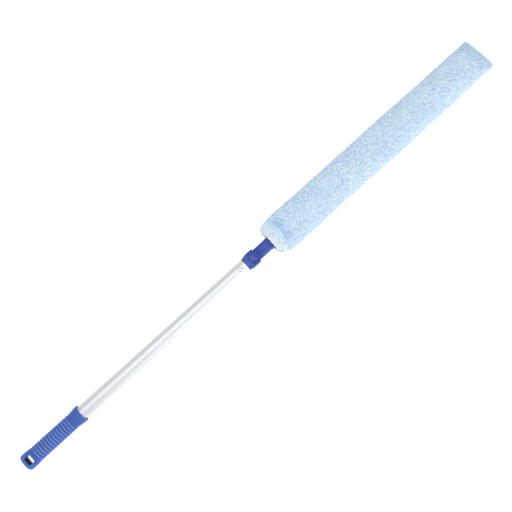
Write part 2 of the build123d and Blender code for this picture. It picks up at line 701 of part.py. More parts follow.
os.makedirs("parts", exist_ok=True)
export_step(handle_tube.part, "parts/handle_tube.step")
export_step(grip_cover.part, "parts/grip_cover.step")
export_step(grip_plug.part, "parts/grip_plug.step")
export_step(neck_fork.part, "parts/neck_fork.step")
export_step(pivot_pin.part, "parts/pivot_pin.step")
export_step(pivot_push_nut.part, "parts/pivot_push_nut.step")
export_step(friction_washer_top.part, "parts/friction_washer_top.step")
export_step(friction_washer_bottom.part, "parts/friction_washer_bottom.step")
export_step(snap_button.part, "parts/snap_button.step")
export_step(button_spring.part, "parts/button_spring.step")
export_step(head_stem.part, "parts/head_stem.step")
export_step(blade_core.part, "parts/blade_core.step")
export_step(blade_rivets.part, "parts/blade_rivets.step")
export_step(sleeve_top_panel.part, "parts/sleeve_top_panel.step")
export_step(sleeve_bottom_panel.part, "parts/sleeve_bottom_panel.step")
export_step(sleeve_hem.part, "parts/sleeve_hem.step")
export_step(sleeve_lining.part, "parts/sleeve_lining.step")
export_step(hem_elastic.part, "parts/hem_elastic.step")
export_step(seam_binding.part, "parts/seam_binding.step")
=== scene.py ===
import math

import bmesh
import bpy
import numpy as np
from mathutils import Matrix, Vector, noise


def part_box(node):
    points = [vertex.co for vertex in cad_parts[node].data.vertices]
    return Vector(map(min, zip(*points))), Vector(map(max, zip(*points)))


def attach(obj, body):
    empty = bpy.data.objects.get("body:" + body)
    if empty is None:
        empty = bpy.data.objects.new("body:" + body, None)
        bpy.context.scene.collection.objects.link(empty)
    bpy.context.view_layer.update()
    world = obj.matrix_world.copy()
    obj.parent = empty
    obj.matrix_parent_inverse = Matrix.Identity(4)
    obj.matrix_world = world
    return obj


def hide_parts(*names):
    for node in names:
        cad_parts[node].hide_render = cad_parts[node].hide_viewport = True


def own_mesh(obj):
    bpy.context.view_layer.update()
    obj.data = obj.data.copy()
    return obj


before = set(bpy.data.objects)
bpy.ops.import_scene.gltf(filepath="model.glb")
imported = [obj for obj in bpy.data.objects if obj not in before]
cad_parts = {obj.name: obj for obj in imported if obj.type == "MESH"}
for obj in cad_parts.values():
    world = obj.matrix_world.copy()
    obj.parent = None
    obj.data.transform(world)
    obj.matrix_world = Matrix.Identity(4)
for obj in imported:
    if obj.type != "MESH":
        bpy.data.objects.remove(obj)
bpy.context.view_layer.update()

# ------------------------------------------------------------------ places read from the frame

MM = 0.001
pin_low, pin_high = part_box("pivot_pin")
tube_low, tube_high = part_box("handle_tube")
lining_low, lining_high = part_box("sleeve_lining")
panel_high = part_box("sleeve_top_panel")[1]
hem_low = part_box("sleeve_hem")[0]
PIVOT = Vector(((pin_low.x + pin_high.x) / 2, 0.0, (tube_low.z + tube_high.z) / 2))

# ------------------------------------------------------------------ camera

LEAN = math.radians(9.4)
ROLL_SIDE = math.radians(2.5)
SCREEN_ANGLE = math.radians(42.15)
DISTANCE = 0.88
SENSOR = 36.0
# focal length as a share of the picture's width
LENS_SHARE = 540.0 / 512.0

aim = Vector((PIVOT.x + 0.0085, -0.0006, PIVOT.z))
back = Vector(
    (
        -math.sin(LEAN),
        -math.cos(LEAN) * math.sin(ROLL_SIDE),
        math.cos(LEAN) * math.cos(ROLL_SIDE),
    )
)
along = Vector((1, 0, 0))
screen_x = (along - back * along.dot(back)).normalized()
screen_y = back.cross(screen_x)
right = screen_x * math.cos(SCREEN_ANGLE) - screen_y * math.sin(SCREEN_ANGLE)
up = back.cross(right)
camera_data = bpy.data.cameras.new("camera")
camera_data.sensor_width = SENSOR
camera_data.lens = SENSOR * LENS_SHARE
camera_data.clip_start = 0.05
camera_data.clip_end = 50.0
camera = bpy.data.objects.new("camera", camera_data)
bpy.context.scene.collection.objects.link(camera)
rotation = Matrix((right, up, back)).transposed().to_4x4()
camera.matrix_world = Matrix.Translation(aim + back * DISTANCE) @ rotation
bpy.context.scene.camera = camera

# ------------------------------------------------------------------ light and floor

world = bpy.data.worlds.new("studio")
bpy.context.scene.world = world
world.use_nodes = True
sky = world.node_tree.nodes
sky_links = world.node_tree.links
direction = sky.new("ShaderNodeTexCoord")
split = sky.new("ShaderNodeSeparateXYZ")
sky_links.new(direction.outputs["Generated"], split.inputs[0])
rise = sky.new("ShaderNodeMapRange")
rise.interpolation_type = "SMOOTHSTEP"
for socket, value in (("From Min", 0.05), ("From Max", 0.85), ("To Min", 0.46), ("To Max", 0.62)):
    rise.inputs[socket].default_value = value
sky_links.new(split.outputs["Z"], rise.inputs["Value"])
sky_links.new(rise.outputs["Result"], sky["Background"].inputs["Strength"])
sky["Background"].inputs["Color"].default_value = (0.97, 0.985, 1.0, 1.0)
bpy.context.scene.view_settings.view_transform = "Standard"


def area_light(name, place, target, size, power):
    data = bpy.data.lights.new(name, "AREA")
    data.shape = "SQUARE"
    data.size = size
    data.energy = power
    lamp = bpy.data.objects.new(name, data)
    bpy.context.scene.collection.objects.link(lamp)
    lamp.location = place
    lamp.rotation_mode = "QUATERNION"
    lamp.rotation_quaternion = (Vector(place) - Vector(target)).to_track_quat("Z", "Y")


area_light("key", (0.55, -1.85, 0.62), (0.0, 0.0, 0.0), 1.2, 21.0)
area_light("fill", (-0.2, 0.45, 1.75), (0.0, 0.0, 0.0), 1.5, 13.5)

# half the floor's side, in metres
FLOOR = 6
floor_mesh = bpy.data.meshes.new("floor")
corners = [(-FLOOR, -FLOOR, 0), (FLOOR, -FLOOR, 0), (FLOOR, FLOOR, 0), (-FLOOR, FLOOR, 0)]
floor_mesh.from_pydata(corners, [], [(0, 1, 2, 3)])
floor = bpy.data.objects.new("floor", floor_mesh)
bpy.context.scene.collection.objects.link(floor)

# ------------------------------------------------------------------ material helpers


class Nodes:
    """A short way to write node materials."""

    def __init__(self, name):
        self.material = bpy.data.materials.new(name)
        self.material.use_nodes = True
        self.tree = self.material.node_tree
        self.shader = self.tree.nodes["Principled BSDF"]
        self.place = self.add("ShaderNodeTexCoord").outputs["Object"]

    def add(self, kind, inputs=None, **properties):
        node = self.tree.nodes.new(kind)
        for key, value in properties.items():
            setattr(node, key, value)
        for key, value in (inputs or {}).items():
            self.put(node.inputs[key], value)
        return node

    def put(self, socket, value):
        if isinstance(value, bpy.types.NodeSocket):
            self.tree.links.new(value, socket)
        else:
            socket.default_value = value

    def set(self, **values):
        for key, value in values.items():
            self.put(self.shader.inputs[key.replace("_", " ")], value)

    def xyz(self):
        return self.add("ShaderNodeSeparateXYZ", {0: self.place}).outputs

    def scaled(self, scale):
        return self.add("ShaderNodeMapping", {"Vector": self.place, "Scale": scale}).outputs["Vector"]

    def noise(self, scale, detail=3.0, roughness=0.55, vector=None):
        return self.add(
            "ShaderNodeTexNoise",
            {"Vector": vector or self.place, "Scale": scale, "Detail": detail, "Roughness": roughness},
        ).outputs["Fac"]

    def ramp(self, value, low, high, start=0.0, end=1.0):
        return self.add(
            "ShaderNodeMapRange",
            {"Value": value, "From Min": start, "From Max": end, "To Min": low, "To Max": high},
        ).outputs["Result"]

    def mix(self, factor, first, second, kind="MIX"):
        node = self.add("ShaderNodeMix", data_type="RGBA", blend_type=kind)
        self.put(node.inputs[0], factor)
        self.put(node.inputs[6], first)
        self.put(node.inputs[7], second)
        return node.outputs[2]

    def math(self, operation, first, second=0.0):
        return self.add("ShaderNodeMath", {0: first, 1: second}, operation=operation).outputs[0]

    def bump(self, height, strength, distance, normal=None):
        node = self.add("ShaderNodeBump", {"Height": height, "Strength": strength, "Distance": distance})
        if normal is not None:
            self.put(node.inputs["Normal"], normal)
        return node.outputs["Normal"]


def srgb(red, green, blue):
    """Linear colour with alpha from 0 to 255 display values."""
    out = []
    for value in (red, green, blue):
        value = value / 255.0
        out.append(value / 12.92 if value <= 0.04045 else ((value + 0.055) / 1.055) ** 2.4)
    return (*out, 1.0)


def shade(colour, factor, lift=0.0):
    """The colour times factor, plus lift."""
    return tuple(min(1.0, c * factor + lift) for c in colour[:3]) + (1.0,)


def floor_material():
    n = Nodes("floor")
    grain = n.noise(9.0)
    n.set(Base_Color=n.mix(grain, (0.19, 0.19, 0.19, 1), (0.21, 0.21, 0.21, 1)), Roughness=0.9)
    n.set(Emission_Color=(1, 1, 1, 1), Emission_Strength=0.90)
    n.set(Specular_IOR_Level=0.1)
    return n.material


floor.data.materials.append(floor_material())


def moulded_plastic(name, colour, rough=0.42, edge=0.35, texture=0.05, shaded_recess=None, lip_x=None):
    """Injection-moulded plastic: fine spark texture, faint flow marks, and a painted highlight on sharp
    edges.

    The recess argument is (x from, x to, half width, height from the middle plane that is recessed, height
    that is not); the faces in it are darkened, painted shade.
    lip_x is where a painted highlight on the lip starts, with a fainter painted highlight along the sides."""
    n = Nodes(name)
    flow = n.noise(38.0, 4.0, vector=n.scaled((0.35, 1.0, 1.0)))
    fine = n.noise(2600.0, 2.0)
    scratch = n.noise(420.0, 2.0, vector=n.scaled((0.08, 1.0, 1.0)))
    dark = shade(colour, 0.86)
    lighter = shade(colour, 1.12, 0.004)
    tone = n.mix(flow, dark, lighter)
    # painted shade: the faces inside the recess are darkened
    if shaded_recess:
        x_from, x_to, half_w, low, high = shaded_recess
        parts = n.xyz()
        height = n.math("ABSOLUTE", n.math("SUBTRACT", parts["Z"], PIVOT.z))
        recess_shade = n.ramp(height, 1.0, 0.0, low, high)
        recess_shade = n.math("MULTIPLY", recess_shade, n.math("GREATER_THAN", parts["X"], x_from))
        recess_shade = n.math("MULTIPLY", recess_shade, n.math("LESS_THAN", parts["X"], x_to))
        recess_shade = n.math("MULTIPLY", recess_shade, n.math("LESS_THAN", n.math("ABSOLUTE", parts["Y"]), half_w))
        tone = n.mix(recess_shade, tone, (colour[0] * 0.46, colour[1] * 0.50, colour[2] * 0.80, 1.0))
    # painted highlight on sharp edges, found by pointiness
    edge_highlight = n.ramp(n.add("ShaderNodeNewGeometry").outputs["Pointiness"], 0.0, edge, 0.51, 0.58)
    painted_highlight = shade(colour, 1.7, 0.03)
    tone = n.mix(edge_highlight, tone, painted_highlight)
    # painted highlight on the lip, and a fainter one along the sides
    if lip_x:
        parts = n.xyz()
        lip = n.ramp(parts["X"], 0.0, 0.75, lip_x, lip_x + 0.8 * MM)
        side = n.ramp(n.math("ABSOLUTE", parts["Y"]), 0.0, 0.30, 10.9 * MM, 11.8 * MM)
        tone = n.mix(n.math("MAXIMUM", lip, side), tone, painted_highlight)
    n.set(Base_Color=tone)
    gloss = n.ramp(scratch, rough - 0.05, rough + 0.09)
    n.set(Roughness=n.math("ADD", gloss, n.math("MULTIPLY", fine, 0.05)))
    n.set(Normal=n.bump(fine, texture, 0.0004, n.bump(scratch, 0.04, 0.0004)))
    n.set(Specular_IOR_Level=0.5)
    return n.material


# the ribbed part of the grip, in mm behind the pivot
RIBS_FROM = 438.0
RIBS_TO = 371.0


def soft_grip(name, colour):
    """Matt thermoplastic rubber with a fine grain, painted highlights on the ridges and painted shade
    between the ribs.
    """
    n = Nodes(name)
    grain = n.noise(1700.0, 3.0)
    blotch = n.noise(26.0, 4.0)
    dark = shade(colour, 0.88)
    light = shade(colour, 1.1, 0.004)
    # painted highlight on sharp ridges, found by pointiness
    ridge_highlight = n.ramp(n.add("ShaderNodeNewGeometry").outputs["Pointiness"], 0.0, 0.5, 0.5, 0.56)
    painted_highlight = shade(colour, 1.5, 0.03)
    parts = n.xyz()
    up = n.math("SUBTRACT", parts["Z"], PIVOT.z)
    up_squared = n.math("MULTIPLY", up, up)
    radius = n.math("SQRT", n.math("ADD", up_squared, n.math("MULTIPLY", parts["Y"], parts["Y"])))
    ribbed = n.math("GREATER_THAN", parts["X"], PIVOT.x - RIBS_FROM * MM)
    ribbed = n.math("MULTIPLY", ribbed, n.math("LESS_THAN", parts["X"], PIVOT.x - RIBS_TO * MM))
    facing = n.ramp(n.math("ABSOLUTE", up), 0.0, 1.0, 6.5 * MM, 11.5 * MM)
    ribbed = n.math("MULTIPLY", ribbed, facing)
    # painted highlight on the rib crests and painted shade in the rib valleys, only where the grip faces up
    # or down
    crest_highlight = n.math("MULTIPLY", ribbed, n.ramp(radius, 0.0, 1.0, 12.42 * MM, 12.62 * MM))
    valley = n.math("MULTIPLY", ribbed, n.ramp(radius, 0.6, 0.0, 12.06 * MM, 12.3 * MM))
    tone = n.mix(ridge_highlight, n.mix(blotch, dark, light), painted_highlight)
    tone = n.mix(valley, tone, shade(colour, 0.80))
    n.set(Base_Color=n.mix(crest_highlight, tone, srgb(122, 148, 204)))
    n.set(Roughness=n.ramp(grain, 0.46, 0.62))
    n.set(Normal=n.bump(grain, 0.12, 0.0004))
    n.set(Specular_IOR_Level=0.4)
    return n.material


def drawn_aluminium():
    """Satin anodised tube with fine lengthwise draw lines and a few handling marks."""
    n = Nodes("drawn_aluminium")
    lines = n.noise(1100.0, 2.0, vector=n.scaled((0.002, 1.0, 1.0)))
    broad = n.noise(240.0, 2.0, vector=n.scaled((0.003, 1.0, 1.0)))
    cloud = n.noise(9.0, 3.0)
    marks = n.ramp(n.noise(70.0, 2.0, 0.4, n.scaled((1.0, 0.35, 0.35))), 0.0, 1.0, 0.70, 0.80)
    tone = n.mix(lines, (0.72, 0.74, 0.77, 1), (0.80, 0.82, 0.85, 1))
    n.set(Base_Color=n.mix(n.ramp(cloud, 0.0, 0.22), tone, (0.72, 0.75, 0.80, 1)))
    n.set(Metallic=0.82)
    rough = n.math("ADD", n.ramp(lines, 0.49, 0.57), n.math("MULTIPLY", cloud, 0.06))
    n.set(Roughness=n.math("ADD", rough, n.math("MULTIPLY", marks, 0.10)))
    n.set(Normal=n.bump(lines, 0.05, 0.0002, n.bump(broad, 0.03, 0.0004)))
    return n.material


def bright_metal(name, colour, rough):
    n = Nodes(name)
    turn = n.noise(1500.0, 2.0)
    n.set(Base_Color=n.mix(turn, shade(colour, 0.92), colour))
    n.set(Metallic=1.0, Roughness=n.ramp(turn, rough, rough + 0.12), Normal=n.bump(turn, 0.05, 0.0002))
    return n.material


def pale_polymer(name, colour, rough=0.45):
    n = Nodes(name)
    flow = n.noise(30.0, 4.0)
    fine = n.noise(1800.0, 2.0)
    n.set(Base_Color=n.mix(flow, shade(colour, 0.93), colour))
    n.set(Roughness=n.ramp(fine, rough, rough + 0.14), Normal=n.bump(fine, 0.06, 0.0003))
    n.set(Subsurface_Weight=0.1)
    n.set(Subsurface_Radius=(0.004, 0.004, 0.004))
    return n.material


def woven(name, colour, pitch):
    """Plain woven or knitted cloth, crossed ribs of the given pitch in metres."""
    n = Nodes(name)
    ribs = {"Vector": n.place, "Scale": 1.0 / pitch / 6.283, "Distortion": 1.2, "Detail": 2.0}
    warp = n.add("ShaderNodeTexWave", ribs, bands_direction="X").outputs["Fac"]
    weft = n.add("ShaderNodeTexWave", ribs, bands_direction="Y").outputs["Fac"]
    knit = n.math("MULTIPLY", warp, weft)
    fuzz = n.noise(2400.0, 3.0)
    height = n.math("ADD", knit, n.math("MULTIPLY", fuzz, 0.4))
    # painted shade where the weave is low, between the yarns
    dark = shade(colour, 0.72)
    n.set(Base_Color=n.mix(n.ramp(height, 0.0, 1.0, 0.0, 1.1), dark, colour), Roughness=0.9)
    n.set(Normal=n.bump(height, 0.5, 0.0006))
    n.set(Sheen_Weight=0.25)
    return n.material


def cover(piece, material):
    piece.data.materials.clear()
    piece.data.materials.append(material)


def give(node, material):
    cover(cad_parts[node], material)


# ------------------------------------------------------------------ sleeve shape

MID_Z = PIVOT.z
HALF_T = (panel_high.z - MID_Z) / MM
MOUTH_S = (hem_low.x - PIVOT.x) / MM + 0.7
TIP_S = (panel_high.x - PIVOT.x) / MM + 0.2
TIP_SKEW = 6.8
CREASE_S = 61.0
POCKET_W = (lining_high.y - lining_low.y) / 2 / MM - 0.8
POCKET_END = (lining_high.x - PIVOT.x) / MM - 0.8
PILE = 0.55
SEED = 20117
# how square the sections are: 2 is an ellipse, more is flatter
SLEEVE_POWER = 2.6
POCKET_POWER = 4.5
CLOTH_FRAMES = 20


def smooth(value, low, high):
    """0 below low, 1 above high, smooth between."""
    t = np.clip((value - low) / (high - low), 0.0, 1.0)
    return t * t * (3 - 2 * t)


def half_width(s, side):
    """Half width in mm at s mm from the pivot, for the left edge (side above 0) or the right one."""
    left = 32.8 - 4.2 * np.exp(-(s - 43.5) / 8.5) - 0.6 * np.exp(-(((s - 144.0) / 38.0) ** 2))
    left = left - 0.4 * np.exp(-(((s - 430.0) / 50.0) ** 2))
    right = 32.9 - 7.0 * np.exp(-(s - 44.5) / 10.5)
    right = right + 1.5 * smooth(s, 180.0, 330.0) - 0.9 * smooth(s, 450.0, 530.0)
    corner = np.clip((s - (TIP_S - 5.5)) / 5.5, 0.0, 1.0)
    return np.where(side > 0, left, right) - 5.5 * (1 - np.sqrt(np.maximum(1 - corner**2, 0.0)))


def half_thick(s):
    """Half thickness in mm: full along the blade, thinner at both ends, closed at the tip."""
    full = HALF_T - 0.6 - 1.2 * (1 - smooth(s, 46.0, 100.0))
    taper = 1 - 0.6 * smooth(s, TIP_S - 40.0, TIP_S) ** 1.4
    close = np.clip((s - (TIP_S - 4.0)) / 4.0, 0.0, 1.0)
    return full * taper * np.sqrt(np.maximum(1 - close**2, 0.0))


def crease_line(v):
    """Where the hem is sewn down, in mm from the pivot, at v mm across."""
    return 64.5 - 0.0034 * v * v - 5.5 * smooth(-v, 5.0, 20.0)


def lip_line(v):
    """The front of the hem, in mm from the pivot, at v mm across.

    It is straight in the middle and rounded at the corners."""
    return MOUTH_S + 4.5 * np.clip((np.abs(v - 2.3) - 18.0) / 10.5, 0.0, 1.0) ** 2


def crease_shown(v):
    """The crease is deep on the left and fades out towards the right edge."""
    return 0.12 + 0.88 * smooth(v, -22.0, -9.0)


def section(angle, power):
    """Unit section of a flat rounded tube."""
    c = np.cos(angle)
    s = np.sin(angle)
    return np.sign(c) * np.abs(c) ** (2.0 / power), np.sign(s) * np.abs(s) ** (2.0 / power)


def ring_angles(count):
    """Angles that spread points evenly round the section."""
    fine = np.linspace(0, 2 * math.pi, 6001)
    y, z = section(fine, SLEEVE_POWER)
    run = np.concatenate([[0], np.cumsum(np.hypot(np.diff(y) * 33.0, np.diff(z) * 11.5))])
    return np.interp(np.linspace(0, run[-1], count, endpoint=False), run, fine)


def to_frame(s, v, h):
    """Points in metres, from mm along, across and above the middle plane."""
    return np.stack([PIVOT.x + s * MM, v * MM, MID_Z + h * MM], -1)


def grid(s_values, angles):
    return np.meshgrid(np.asarray(s_values), np.asarray(angles), indexing="ij")


def sleeve_body(s_values, angles):
    """Outer face of the long part, from the sewn line to the tip, before it settles."""
    s, angle = grid(s_values, angles)
    y, z = section(angle, SLEEVE_POWER)
    v = y * half_width(s, y)
    line = crease_line(v)
    near = 1 - smooth(s, CREASE_S, CREASE_S + 60.0)
    place = s + (line - CREASE_S) * near
    past = place - line
    shown = crease_shown(v)
    dip = 3.3 * np.exp(-np.maximum(past, 0.0) / 4.5) * shown
    hollow = 3.4 * np.exp(-(((past - 7.0) / 11.0) ** 2)) + 1.5 * np.exp(-(((past - 30.0) / 24.0) ** 2))
    patch = 0.4 + 0.6 * np.exp(-(((v + 8.0) / 9.0) ** 2)) + 0.35 * np.exp(-(((v - 20.0) / 8.0) ** 2))
    hollow = hollow * patch * (1 - smooth(np.abs(v), 22.0, 32.0))
    depth = np.minimum(dip + hollow, half_thick(s) - 6.9)
    free = smooth(s, 80.0, 140.0) * (1 - smooth(s, TIP_S - 60.0, TIP_S - 10.0))
    wave = 0.30 * np.sin(s / 31.0 + 0.8) + 0.25 * np.sin(s / 17.0 + v / 13.0)
    wave = wave + 0.2 * np.sin(s / 47.0 - v / 21.0)
    under = 1 - smooth(past, -3.0, 1.5)
    h = z * (half_thick(s) - np.where(past < 90.0, depth, 0.0) + free * wave - 2.4 * under)
    v = v - y * (0.3 * dip + 1.6 * under)
    place = place - smooth(s, TIP_S - 70.0, TIP_S) * TIP_SKEW * (0.5 + 0.5 * y)
    return to_frame(place, v, h)


def pocket_face(s, angle, grow):
    """Mm across and above for the flat pocket that the blade slides into."""
    y, z = section(angle, POCKET_POWER)
    across = y * (POCKET_W + grow)
    hump = (1 - smooth(s, 76.0, 122.0)) * (1 - smooth(np.abs(across), 10.5, 15.5))
    pinch = (1 - smooth(s, MOUTH_S + 1.0, MOUTH_S + 16.0)) * smooth(np.abs(across), 10.5, 15.5)
    return across, z * (2.4 + 2.6 * hump - 1.4 * pinch + grow)


def pocket_rows(s_values, angles, grow):
    """Rings of the pocket. Near the mouth they follow the rounded corners of the hem."""
    s, angle = grid(s_values, angles)
    across, above = pocket_face(s, angle, grow)
    start = lip_line(across * 1.08) + 1.2 - MOUTH_S
    return to_frame(s + start * (1 - smooth(s, MOUTH_S, MOUTH_S + 24.0)), across, above)


def hem_rows(count, angles):
    """Rolled hem: each ring goes round the sleeve, and the rings go round the roll.

    Its far side tucks under the body."""
    phi = np.linspace(0, 2 * math.pi, count, endpoint=False)
    along, raised = section(phi, 2.5)
    along, angle = grid(along, angles)
    f = (np.repeat(raised[:, None], len(angles), 1) + 1) / 2
    y, z = section(angle, SLEEVE_POWER)
    line = crease_line(y * 32.0)
    tucked = line + 5.0
    mouth = lip_line(y * 28.5)
    s = (tucked + mouth) / 2 + along * (tucked - mouth) / 2
    across_in, above_in = pocket_face(s, angle, 1.1)
    puff = 0.9 * np.exp(-(((s - 53.0) / 7.0) ** 2)) + 0.25 * np.sin(y * 9.0 + 1.0)
    tuck = 1.5 * np.exp(-(((s - 49.0) / 1.6) ** 2)) * smooth(y, 0.86, 1.0)
    lip = 1.0 * np.exp(-(s - mouth) / 2.5)
    fall = 3.5 * smooth(s, line - 9.0, line + 1.0) * crease_shown(y * 32.0)
    fall = fall + 1.2 * smooth(s, line, line + 4.0)
    across = y * (half_width(s, y) - 0.8 * smooth(s, line, line + 4.0)) - tuck
    above = z * (HALF_T - 2.2 + puff - lip - fall)
    return to_frame(s, across_in + (across - across_in) * f, above_in + (above - above_in) * f)


def grid_mesh(name, rows, round_again=False, shut_ends=False):
    """A mesh of closed rings.

    round_again joins the last ring to the first. shut_ends closes the two flat ends."""
    count, around = rows.shape[:2]
    index = np.arange(count * around).reshape(count, around)
    a = index if round_again else index[:-1]
    b = np.roll(index, -1, 0) if round_again else index[1:]
    faces = np.stack([a, np.roll(a, -1, 1), np.roll(b, -1, 1), b], -1).reshape(-1, 4).tolist()
    if shut_ends:
        for ring in (index[0].tolist(), index[-1].tolist()):
            for j in range(around // 2):
                face = [ring[j], ring[j + 1], ring[around - j - 1], ring[(around - j) % around]]
                faces.append(list(dict.fromkeys(face)))
    mesh = bpy.data.meshes.new(name)
    mesh.from_pydata(rows.reshape(-1, 3).tolist(), [], faces)
    work = bmesh.new()
    work.from_mesh(mesh)
    bmesh.ops.recalc_face_normals(work, faces=work.faces)
    work.to_mesh(mesh)
    work.free()
    mesh.polygons.foreach_set("use_smooth", [True] * len(mesh.polygons))
    mesh.update()
    piece = bpy.data.objects.new(name, mesh)
    bpy.context.scene.collection.objects.link(piece)
    return piece


def row_normals(rows, round_again=False):
    """Unit normals of a grid of rings, pointing outwards."""
    if round_again:
        step = np.roll(rows, -1, 0) - np.roll(rows, 1, 0)
    else:
        step = np.gradient(rows, axis=0)
    n = np.cross(np.roll(rows, -1, 1) - np.roll(rows, 1, 1), step)
    n /= np.maximum(np.linalg.norm(n, axis=2, keepdims=True), 1e-12)
    out = rows - np.array([0.0, 0.0, MID_Z])
    first = slice(0, rows.shape[0] // 3)
    return n * np.sign((n[first, :, 1:] * out[first, :, 1:]).sum())


def settle(rows, held):
    """Lets the cloth fill out and pucker between its held points.

    A point keeps 0.45 of its move, and at most 0.6 mm, so that the outline stays straight."""
    piece = grid_mesh("settling", rows)
    pins = piece.vertex_groups.new(name="held")
    for weight in sorted(set(held.ravel().tolist()) - {0.0}):
        pins.add(np.nonzero(held.ravel() == weight)[0].tolist(), weight, "REPLACE")
    cloth = piece.modifiers.new("cloth", "CLOTH")
    settings = cloth.settings
    settings.quality = 6
    settings.mass = 0.25
    settings.tension_stiffness = settings.compression_stiffness = 18.0
    settings.shear_stiffness = 8.0
    settings.bending_stiffness = 1.0
    settings.use_pressure = True
    settings.uniform_pressure_force = 4.0
    settings.shrink_min = -0.035
    settings.vertex_group_mass = "held"
    settings.pin_stiffness = 1.0
    settings.effector_weights.gravity = 0.0
    cloth.collision_settings.use_collision = False
    cloth.point_cache.frame_start = 1
    cloth.point_cache.frame_end = CLOTH_FRAMES
    for number in range(1, CLOTH_FRAMES + 1):
        bpy.context.scene.frame_set(number)
    evaluated = piece.evaluated_get(bpy.context.evaluated_depsgraph_get())
    settled = np.zeros(rows.size)
    evaluated.data.vertices.foreach_get("co", settled)
    bpy.data.objects.remove(piece)
    bpy.context.scene.frame_set(1)
    move = settled.reshape(rows.shape) - rows
    size = np.linalg.norm(move, axis=2, keepdims=True)
    return rows + move * np.minimum(0.45, 0.6 * MM / np.maximum(size, 1e-9))


def cubic(points, f):
    """A smooth curve through four points in a row, at f of the way from the second to the third."""
    p0, p1, p2, p3 = points
    square = (2 * p0 - 5 * p1 + 4 * p2 - p3) * f**2
    cube = (3 * p1 - p0 - 3 * p2 + p3) * f**3
    return 0.5 * (2 * p1 + (p2 - p0) * f + square + cube)


def finer(rows, row_at, around):
    """The grid again at fractional row numbers, with more points round each ring."""
    old_count, old_around = rows.shape[:2]
    low = np.clip(np.floor(row_at).astype(int), 0, old_count - 2)
    f = (row_at - low)[:, None, None]
    rows = cubic([rows[np.clip(low + k, 0, old_count - 1)] for k in (-1, 0, 1, 2)], f)
    at = np.arange(around) * old_around / around
    low = np.floor(at).astype(int)
    f = (at - low)[None, :, None]
    return cubic([rows[:, (low + k) % old_around] for k in (-1, 0, 1, 2)], f)


def loop_pile(rows, seed, strength=1.0, round_again=False):
    """Short soft loops: each point moves out by its own amount and a little sideways.

    Returns the rows and the heights of the loops."""
    draw = np.random.default_rng(seed)
    count, around = rows.shape[:2]
    n = row_normals(rows, round_again)
    single = np.clip(draw.normal(size=(count, around)), -2, 2) / 2
    pair = draw.normal(size=(count // 2 + 2, around // 2 + 2))
    pair = np.repeat(np.repeat(pair, 2, 0), 2, 1)[:count, :around]
    pair = np.clip((pair + np.roll(pair, 1, 0) + np.roll(pair, 1, 1)) / 1.8, -1.6, 1.6) / 1.6
    swirl = np.array([noise.noise(Vector(p) * 400.0) for p in rows.reshape(-1, 3)]).reshape(count, around)
    tall = 0.40 * single + 0.42 * pair + 1.0 * swirl
    side = np.clip(draw.normal(size=(count, around, 3)), -2, 2) * 0.18 * MM
    side -= n * (side * n).sum(2, keepdims=True)
    strength = np.broadcast_to(strength, (count, around))[..., None]
    return rows + (n * (tall * PILE * MM)[..., None] + side) * strength, tall


def store(piece, values):
    """Keeps the heights of the loops for the material."""
    attribute = piece.data.attributes.new("pile", "FLOAT", "POINT")
    attribute.data.foreach_set("value", values.astype(np.float32).ravel())


# the long part: settled on a coarse grid, then made fine and given its pile
COARSE_ROUND = 78
FINE_ROUND = 156
COARSE_ROWS = 106
FINE_ROWS = 450
closing = TIP_S - 4.0 + 4.0 * np.sin(np.radians(np.linspace(0.0, 80.0, 6)))
coarse_s = np.concatenate([np.linspace(CREASE_S - 3.0, TIP_S - 4.0, COARSE_ROWS), closing[1:]])
base = sleeve_body(coarse_s, ring_angles(COARSE_ROUND))
held = np.zeros(base.shape[:2])
held[3:-6, [0, COARSE_ROUND // 2]] = 0.5
held[:8] = 0.7
held[:3] = 1.0
held[-6:] = 1.0
base = settle(base, held)
last = COARSE_ROWS - 1.0
fine_tip = np.linspace(last, len(coarse_s) - 1.0, 7)[1:]
row_at = np.concatenate([np.linspace(0.0, last, FINE_ROWS), fine_tip])
outer = finer(base, row_at, FINE_ROUND)
outer, outer_tall = loop_pile(outer, SEED)

# painted shade past the crease, along the left edge and towards and at the tip: the stored loop heights are
# lowered there, and the material turns low loops darker
outer_s = (outer[..., 0] - PIVOT.x) / MM
outer_v = outer[..., 1] / MM
outer_h = (outer[..., 2] - MID_Z) / MM
past_crease = outer_s - crease_line(outer_v)
crease_shade = np.exp(-(((past_crease - 4.0) / 9.0) ** 2)) * crease_shown(outer_v)
crease_shade = crease_shade * (1 - smooth(np.abs(outer_v), 22.0, 30.0))
left_edge_shade = np.exp(-((outer_h / 1.8) ** 2)) * (outer_v > 25.0)
from_tip = outer_s - TIP_S + TIP_SKEW * (0.5 + 0.5 * outer_v / 33.0)
outer_tall = outer_tall - 1.1 * left_edge_shade - 0.85 * crease_shade
outer_tall = outer_tall - 0.4 * smooth(from_tip, -48.0, -10.0) - 0.7 * smooth(from_tip, -3.5, -1.0)

# the inner face of the body, against the pocket
inner_s = np.linspace(POCKET_END + 1.4, CREASE_S + 2.0, 30)
inner = pocket_rows(inner_s, ring_angles(FINE_ROUND), 1.2)
sleeve_pile = grid_mesh("sleeve_pile", np.concatenate([inner, outer]), shut_ends=True)
store(sleeve_pile, np.concatenate([np.zeros(inner.shape[:2]), outer_tall]))

# the rolled hem
HEM_ROWS = 54
HEM_FRONT_S = 40.5
roll = hem_rows(HEM_ROWS, ring_angles(FINE_ROUND))
roll, roll_tall = loop_pile(roll, SEED + 1, 0.85, round_again=True)
roll[..., 0] = np.maximum(roll[..., 0], PIVOT.x + HEM_FRONT_S * MM)
hem_roll = grid_mesh("sleeve_hem_roll", roll, round_again=True)
store(hem_roll, roll_tall)

